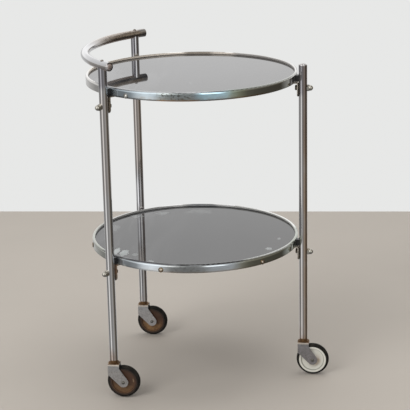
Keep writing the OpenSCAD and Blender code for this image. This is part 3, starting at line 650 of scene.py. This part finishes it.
def strap_steel(node):
    """Plated strap with rust at its bend and its holes."""
    mat = Finish("strap_" + node, Metallic=0.85)
    rusted = 0.85 if node == "lower_bracket_right" else 0.35
    blotches = mat.noise(0.010, 4, 0.65, seed=2.0)
    fine = mat.noise(0.0012, 3, 0.7, seed=5.0)
    rust = mat.math("MULTIPLY", mat.step(blotches, 0.62 - rusted * 0.3, 0.72 - rusted * 0.1), rusted)
    colour = mat.mix(blotches, (0.66, 0.61, 0.53), (0.46, 0.41, 0.34))
    colour = mat.mix(rust, colour, mat.mix(fine, (0.16, 0.075, 0.035), (0.33, 0.17, 0.075)))
    rough = mat.add_up((blotches, 0.2), (rust, 0.3), (fine, 0.1))
    height = mat.add_up((rust, -0.6), (fine, 0.3))
    return mat.finish(colour, mat.math("ADD", rough, 0.22), height, 0.00012, mat.scale(rust, 0.9, 0.25))


def plain_metal(name, light, dark, rough_low, rust_share, rough_spread=0.15):
    """Dull metal for bolts, nuts, screws and other small pieces."""
    mat = Finish(name)
    blotches = mat.noise(0.004, 4, 0.6, seed=3.0)
    fine = mat.noise(0.0008, 3, 0.7, seed=7.0)
    rust = mat.math("MULTIPLY", mat.step(blotches, 0.50, 0.66), rust_share)
    colour = mat.mix(mat.add_up((blotches, 0.6), (fine, 0.4)), light, dark)
    colour = mat.mix(rust, colour, RUST)
    rough = mat.add_up((blotches, rough_spread), (fine, rough_spread * 0.8), (rust, 0.35))
    height = mat.add_up((fine, 0.4), (rust, -0.6))
    depth = rough_spread * 0.0005
    return mat.finish(colour, mat.math("ADD", rough, rough_low), height, depth, mat.scale(rust, 1.0, 0.2))


# Heights between the two trays, where the cups change their finish
CUPS_CHANGE = (0.5, 0.6)


def cup_brass():
    """Cup washers round the rim screws: brown on the lower tray, greyed on the upper one."""
    mat = Finish("cup_brass", Metallic=1.0)
    blotches = mat.noise(0.004, 4, 0.6, seed=3.0)
    upper = mat.step(mat.z, *CUPS_CHANGE)
    colour = mat.mix(blotches, (0.34, 0.235, 0.13), (0.12, 0.08, 0.05))
    colour = mat.mix(upper, colour, mat.mix(blotches, (0.52, 0.525, 0.49), (0.22, 0.215, 0.19)))
    return mat.finish(colour, mat.scale(blotches, 0.30, 0.45), blotches, 0.00006)


FORK_TONE = {"left": (0.40, 0.385, 0.38), "right": (0.335, 0.32, 0.31), "front": (0.25, 0.235, 0.235)}
# Depths below the fork's top: its bend as (from, to, softness), and where the others fade in
FORK_BEND = (0.0010, 0.0042, 0.0008)
FORK_TOP = (0.0030, 0.0012)
FORK_SEEP = (0.014, 0.002)
FORK_COOL = (0.022, 0.004)


def fork_zinc(end):
    """Grey zinc plate with a mottled grain, worn bright along its bend with a painted highlight there, and
    with a tan film and rust on top.
    """
    mat = Finish("zinc_fork_" + end)
    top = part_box("fork_" + end)[1].z
    below_top = mat.math("SUBTRACT", top, mat.z)
    cells = mat.cells(0.0028, 2.0)
    blotches = mat.noise(0.010, 4, 0.65, seed=4.0)
    fine = mat.noise(0.0010, 3, 0.7, seed=6.0)
    tone = mat.scale(mat.add_up((cells, 0.40), (blotches, 0.40), (fine, 0.2)), 0.60, 1.40)
    colour = mat.mix(1.0, FORK_TONE[end], tone, "MULTIPLY")
    cool = mat.all(mat.step(below_top, *FORK_COOL), mat.step(blotches, 0.40, 0.60))
    colour = mat.mix(mat.math("MULTIPLY", cool, 0.5), colour, (0.30, 0.33, 0.35))
    dark = mat.math("MULTIPLY", mat.spots(0.005, 0.16, 9.0), 0.5)
    colour = mat.mix(dark, colour, (0.13, 0.095, 0.075))
    # Wear and a painted highlight along the sides of the bend
    bend_wear_and_highlight = mat.all(mat.window(below_top, *FORK_BEND), mat.step(mat.up, 0.95, 0.60))
    bend_wear_and_highlight = mat.all(bend_wear_and_highlight, mat.scale(fine, 0.5, 1.2))
    colour = mat.mix(mat.math("MULTIPLY", bend_wear_and_highlight, 0.8), colour, (0.72, 0.64, 0.54))
    on_top = mat.all(mat.step(below_top, *FORK_TOP), mat.step(mat.up, 0.60, 0.90))
    film = mat.mix(mat.step(blotches, 0.45, 0.60), (0.36, 0.27, 0.17), (0.17, 0.085, 0.04))
    colour = mat.mix(on_top, colour, film)
    seep = mat.all(mat.step(below_top, *FORK_SEEP), mat.step(blotches, 0.56, 0.70), 0.4)
    colour = mat.mix(seep, colour, (0.30, 0.165, 0.07))
    rust = mat.any(on_top, seep)
    rough = mat.add_up((blotches, 0.12), (fine, 0.12), (rust, 0.20))
    height = mat.add_up((fine, 0.4), (cells, 0.25), (rust, 0.5))
    return mat.finish(colour, mat.math("ADD", rough, 0.40), height, 0.00010, mat.scale(rust, 0.45, 0.1))


# Rings on the hubs, as (from, to, softness) in metres from the axle
DUST_RING = (0.010, 0.0275, 0.005)
SCRAPED_RING = (0.0225, 0.0245, 0.0009)
DARK_RING = (0.0292, 0.0345, 0.0012)
INNER_GROOVE = (0.0266, 0.0284, 0.0007)
OUTER_GROOVE = (0.0322, 0.0335, 0.0005)
BROWN_PATCH_RING = (0.006, 0.0190, 0.006)


def hub_brown(end):
    """Dark brown moulded hub with ochre dust in its lower half and, on the right one, a scraped arc."""
    mat = Finish("hub_" + end, Specular_IOR_Level=0.35)
    distance, angle = mat.wheel_polar(middle("hub_" + end))
    rings = mat.noise(0.0014, 2, 0.5, (8, 1, 8), 2.0)
    blotches = mat.noise(0.012, 4, 0.65, seed=4.0 if end == "left" else 9.0)
    fine = mat.noise(0.0012, 3, 0.7, seed=5.0)
    colour = mat.mix(blotches, (0.036, 0.020, 0.014), (0.120, 0.058, 0.034))
    low = mat.window(angle, -75, 65, 45)
    share = 0.95 if end == "left" else 0.55
    dust = mat.all(low, mat.window(distance, *DUST_RING), mat.step(blotches, 0.22, 0.60), share)
    colour = mat.mix(dust, colour, (0.285, 0.165, 0.075))
    if end == "right":
        scrape = mat.all(mat.window(distance, *SCRAPED_RING), mat.window(angle, 88, 108, 5))
        scrape = mat.all(scrape, mat.step(fine, 0.3, 0.5), 0.7)
        colour = mat.mix(scrape, colour, (0.42, 0.30, 0.19))
    edge = mat.math("MULTIPLY", mat.window(distance, *DARK_RING), 0.75)
    colour = mat.mix(edge, colour, (0.022, 0.015, 0.011))
    rough = mat.add_up((blotches, 0.15), (dust, 0.25), (fine, 0.1))
    return mat.finish(colour, mat.math("ADD", rough, 0.32), mat.add_up((fine, 0.25), (rings, 0.3)), 0.00010)


def hub_cream(end):
    """Cream moulded hub, grey-green in its grooves and browner near the axle beside the fork."""
    mat = Finish("hub_" + end, Specular_IOR_Level=0.35)
    distance, angle = mat.wheel_polar(middle("hub_" + end))
    blotches = mat.noise(0.012, 4, 0.6, seed=6.0)
    fine = mat.noise(0.0012, 3, 0.7, seed=5.0)
    colour = mat.mix(blotches, (0.89, 0.88, 0.82), (0.78, 0.77, 0.69))
    outer_groove = mat.math("MULTIPLY", mat.window(distance, *OUTER_GROOVE), 0.6)
    groove = mat.any(mat.window(distance, *INNER_GROOVE), outer_groove)
    groove = mat.all(groove, mat.scale(fine, 0.35, 0.95))
    colour = mat.mix(groove, colour, (0.20, 0.205, 0.16))
    # Browner near the axle, beside the fork
    brown_patches = mat.all(mat.window(distance, *BROWN_PATCH_RING), mat.window(angle, -10, 120, 40))
    brown_patches = mat.all(brown_patches, mat.step(blotches, 0.2, 0.6))
    colour = mat.mix(mat.math("MULTIPLY", brown_patches, 0.8), colour, (0.42, 0.31, 0.21))
    dirt = mat.math("MULTIPLY", mat.spots(0.0025, 0.08, 12.0), 0.35)
    colour = mat.mix(dirt, colour, (0.25, 0.21, 0.15))
    rough = mat.add_up((blotches, 0.15), (groove, 0.2), (fine, 0.1))
    return mat.finish(colour, mat.math("ADD", rough, 0.36), mat.add_up((fine, 0.25), (groove, -0.6)), 0.00010)


def rubber(name, light, dark, rough_low, grain_size, gloss):
    """Black rubber with a grain and a little dust."""
    mat = Finish(name, Specular_IOR_Level=gloss)
    grain = mat.noise(grain_size, 3, 0.7, seed=2.0)
    dust = mat.noise(0.012, 4, 0.6, seed=4.0)
    colour = mat.mix(mat.step(dust, 0.35, 0.70), dark, light)
    rough = mat.add_up((dust, 0.15), (grain, 0.12))
    return mat.finish(colour, mat.math("ADD", rough, rough_low), grain, 0.00012)


BEVEL_STEPS = 2
SHARP_EDGE = math.radians(35)


def dress(node, material, bevel=0.0):
    """Gives a CAD node its finish and, with a bevel in metres, soft edges."""
    thing = NODES[node]
    thing.data.materials.clear()
    thing.data.materials.append(material)
    if bevel:
        edges = thing.modifiers.new("soft_edges", "BEVEL")
        edges.width = bevel
        edges.segments = BEVEL_STEPS
        edges.limit_method = "ANGLE"
        edges.angle_limit = SHARP_EDGE
        edges.harden_normals = True


def dress_cart():
    for end in ENDS:
        dress("leg_" + end, leg_chrome("leg_" + end))
    dress("handle_tube", handle_chrome("handle_tube"))
    for node in ("handle_cap_left", "handle_cap_right", "leg_front_cap"):
        dress(node, cap_chrome(node))
    steel = plain_metal("plain_steel", (0.42, 0.39, 0.35), (0.22, 0.19, 0.16), 0.25, 0.5)
    dark_steel = plain_metal("bolt_steel", (0.17, 0.15, 0.115), (0.07, 0.06, 0.045), 0.25, 0.5)
    rusty = plain_metal("rusty_steel", (0.33, 0.21, 0.11), (0.13, 0.065, 0.03), 0.45, 0.8)
    rivet = plain_metal("rivet_steel", (0.30, 0.30, 0.27), (0.10, 0.09, 0.075), 0.38, 0.4)
    brass = plain_metal("brass", (0.80, 0.62, 0.38), (0.40, 0.26, 0.14), 0.10, 0.35)
    screw_head = plain_metal("screw_head", (0.95, 0.89, 0.79), (0.66, 0.55, 0.41), 0.30, 0.1)
    pale_head = plain_metal("pale_head", (1.0, 0.99, 0.96), (0.86, 0.84, 0.79), 0.30, 0.0)
    nickel = plain_metal("nickel", (0.78, 0.76, 0.69), (0.36, 0.33, 0.27), 0.03, 0.1, 0.03)
    screw = plain_metal("handle_screw", (0.46, 0.42, 0.38), (0.28, 0.24, 0.20), 0.20, 0.25)
    for node in ("leg_plug_left", "leg_plug_right"):
        dress(node, steel)
    dress("handle_screws", screw)
    wood = board()
    gloss_rubber = rubber("spacer_rubber", (0.030, 0.029, 0.028), (0.008, 0.008, 0.008), 0.14, 0.002, 0.5)
    for tier in TIERS:
        dress(tier + "_rim", rim_chrome(tier))
        dress(tier + "_glass", black_glass(tier))
        dress(tier + "_board", wood)
        dress(tier + "_rim_screws", pale_head if tier == "upper" else screw_head)
        for end in ENDS:
            dress(f"{tier}_bracket_{end}", strap_steel(f"{tier}_bracket_{end}"), 0.0004)
            dress(f"{tier}_spacer_{end}", gloss_rubber, 0.0008)
    dress("bracket_screws", brass)
    dress("rim_screw_cups", cup_brass())
    dress("leg_bolts", dark_steel, 0.0004)
    dress("cap_nuts", nickel, 0.0004)
    tyre = rubber("tyre_rubber", (0.030, 0.026, 0.021), (0.007, 0.0065, 0.006), 0.60, 0.0015, 0.2)
    for end in ENDS:
        dress("socket_" + end, rusty)
        dress("stem_" + end, steel)
        dress("washer_" + end, rusty)
        dress("fork_" + end, fork_zinc(end), 0.0005)
        dress("axle_" + end, rivet)
        dress("bush_" + end, steel)
        dress("hub_" + end, hub_cream(end) if end == "front" else hub_brown(end), 0.0004)
        dress("tyre_" + end, tyre)


def grey(value):
    return (value, value, value)


def tinted(value, warmth):
    return (value * (1 + 0.10 * warmth), value, value * (1 - 0.14 * warmth))


# What polished metal and glass see, by angle from the camera's side: (angle, brightness, warmth).
# A window stands to the left of the camera and a smaller one to its right. Only glossy rays see them.
LOW_RING = (
    (-180, 0.70, 0), (-150, 0.56, 0), (-128, 0.36, 0), (-104, 0.27, 0), (-78, 0.27, 0), (-69, 0.38, 0),
    (-60, 0.88, 0), (-50, 1.12, 0), (-42, 1.00, 0), (-35, 0.66, 0), (-27, 0.36, 0), (-12, 0.28, 0),
    (6, 0.33, 0), (18, 0.44, 0), (40, 0.46, 0), (52, 0.25, 1), (62, 0.14, 1), (84, 0.095, 1),
    (112, 0.08, 1), (122, 0.32, 0), (136, 0.58, 0), (180, 0.60, 0),
)
HIGH_RING = (
    (-180, 0.95, 0), (-130, 0.80, 0), (-100, 0.62, 0), (-84, 0.60, 0), (-70, 0.90, 0), (-57, 1.50, 0),
    (-28, 1.70, 0), (-18, 0.70, 0), (-8, 0.36, 0), (4, 0.40, 0), (9, 0.70, 0), (14, 1.60, 0),
    (31, 1.60, 0), (39, 0.60, 0), (60, 0.30, 1), (112, 0.20, 1), (140, 0.60, 0), (180, 0.95, 0),
)
# Overhead: (rightward part of the direction, brightness)
OVERHEAD = (
    (-0.50, 0.85), (-0.40, 1.10), (-0.24, 1.10), (-0.16, 0.30), (0.0, 0.32),
    (0.05, 1.20), (0.17, 1.20), (0.24, 0.30), (0.50, 0.22),
)
# Where the high ring takes over from the low one, the overhead light from that, and the floor below
RING_JOIN = (-0.06, 0.10)
OVERHEAD_JOIN = (0.70, 0.90)
BELOW_JOIN = (-0.38, -0.72)
BELOW = 0.17
RING_SCALE = 5.0
# The wall above the photograph's frame, as glass and metal see it: (upward part of the direction, brightness)
WALL_ABOVE = ((0.0, 1.10), (0.19, 1.16), (0.30, 0.96), (0.60, 0.80))
# Where the wall fades in, in turns away from the camera's side, and (from, to, softness) upward
WALL_SIDE = (0.36, 0.44)
WALL_RISE = (0.04, 0.40, 0.05)
WALL_COLOUR = (0.800, 0.805, 0.797)
FLOOR_COLOUR = (0.50, 0.458, 0.410)
FILL_COLOUR = (0.62, 0.62, 0.615)


def make_world():
    """A pale wall for the camera, a studio for polished metal, and an even fill for the rest."""
    world = bpy.data.worlds.new("studio")
    world.use_nodes = True
    bpy.context.scene.world = world
    sky = Graph(world.node_tree)
    way = sky.add("ShaderNodeTexCoord").outputs["Generated"]
    across = sky.vector("DOT_PRODUCT", way, RIGHT).outputs["Value"]
    ahead = sky.vector("DOT_PRODUCT", way, FRONT).outputs["Value"]
    turn = sky.math("MULTIPLY", sky.math("ARCTAN2", across, ahead), 1 / math.tau)
    turn = sky.math("ADD", turn, 0.5)
    rise = sky.add("ShaderNodeSeparateXYZ", {0: way}).outputs[2]
    rings = []
    for steps in (LOW_RING, HIGH_RING):
        stops = [(angle / 360 + 0.5, tinted(value / RING_SCALE, warmth)) for angle, value, warmth in steps]
        rings.append(sky.ramp(turn, stops))
    ring = sky.mix(sky.step(rise, *RING_JOIN), *rings)
    stops = [((place + 1) / 2, grey(value / RING_SCALE)) for place, value in OVERHEAD]
    overhead = sky.ramp(sky.math("MULTIPLY", sky.math("ADD", across, 1.0), 0.5), stops)
    ring = sky.mix(sky.step(rise, *OVERHEAD_JOIN), ring, overhead)
    ring = sky.mix(sky.step(rise, *BELOW_JOIN), ring, grey(BELOW / RING_SCALE))
    wall = sky.step(sky.math("ABSOLUTE", sky.math("SUBTRACT", turn, 0.5)), *WALL_SIDE)
    wall = sky.math("MULTIPLY", wall, sky.window(rise, *WALL_RISE))
    above = [(place, grey(value / RING_SCALE)) for place, value in WALL_ABOVE]
    ring = sky.mix(wall, ring, sky.ramp(rise, above))
    seen = sky.add("ShaderNodeLightPath").outputs
    fill = sky.add("ShaderNodeBackground", {"Color": FILL_COLOUR, "Strength": 1.0})
    studio = sky.add("ShaderNodeBackground", {"Color": ring, "Strength": RING_SCALE})
    plain = sky.add("ShaderNodeBackground", {"Color": WALL_COLOUR, "Strength": 1.0})
    glossy = seen["Is Glossy Ray"]
    shown = sky.add("ShaderNodeMixShader", {0: glossy, 1: fill.outputs[0], 2: studio.outputs[0]})
    clear = sky.math("MAXIMUM", seen["Is Camera Ray"], seen["Is Transmission Ray"])
    shown = sky.add("ShaderNodeMixShader", {0: clear, 1: shown.outputs[0], 2: plain.outputs[0]})
    out = sky.add("ShaderNodeOutputWorld")
    sky.tree.links.new(shown.outputs[0], out.inputs[0])


# The floor's far edge behind the origin, its reach to the other sides, and how far its far edge is turned
FLOOR_FAR = 1.358
FLOOR_REACH = 14.0
WALL_TURN = math.radians(4.35)


def make_floor():
    """A plain pale floor whose far edge meets the wall where the photograph's does."""
    mesh = bpy.data.meshes.new("floor")
    wide, near = RIGHT * FLOOR_REACH, FRONT * FLOOR_REACH
    far = -FRONT * FLOOR_FAR
    along = wide + FRONT * FLOOR_REACH * math.tan(WALL_TURN)
    mesh.from_pydata([near - wide, near + wide, far + along, far - along], [], [(0, 1, 2, 3)])
    floor = bpy.data.objects.new("floor", mesh)
    bpy.context.scene.collection.objects.link(floor)
    mat = Finish("floor", Specular_IOR_Level=0.2)
    mottle = mat.noise(0.30, 4, 0.5, seed=1.0)
    shade = mat.scale(mottle, 0.96, 1.04)
    mesh.materials.append(mat.finish(mat.mix(1.0, FLOOR_COLOUR, shade, "MULTIPLY"), 0.7))
    floor.visible_glossy = False


LAMP_AIM = Vector((0, 0, 0.4))


def area_lamp(name, place, size, power):
    """A round soft lamp aimed at the cart's middle: size in metres and power in watts."""
    lamp = bpy.data.lights.new(name, "AREA")
    lamp.shape = "DISK"
    lamp.size = size
    lamp.energy = power
    holder = bpy.data.objects.new(name, lamp)
    bpy.context.scene.collection.objects.link(holder)
    holder.location = place
    holder.rotation_euler = (LAMP_AIM - Vector(place)).to_track_quat("-Z", "Y").to_euler()
    holder.visible_camera = False
    holder.visible_glossy = False


def make_lamps():
    area_lamp("key", (-1.9, -2.6, 3.0), 2.2, 62)
    area_lamp("top", (0.3, 0.4, 3.4), 2.6, 34)


make_camera()
make_world()
make_floor()
make_lamps()
dress_cart()
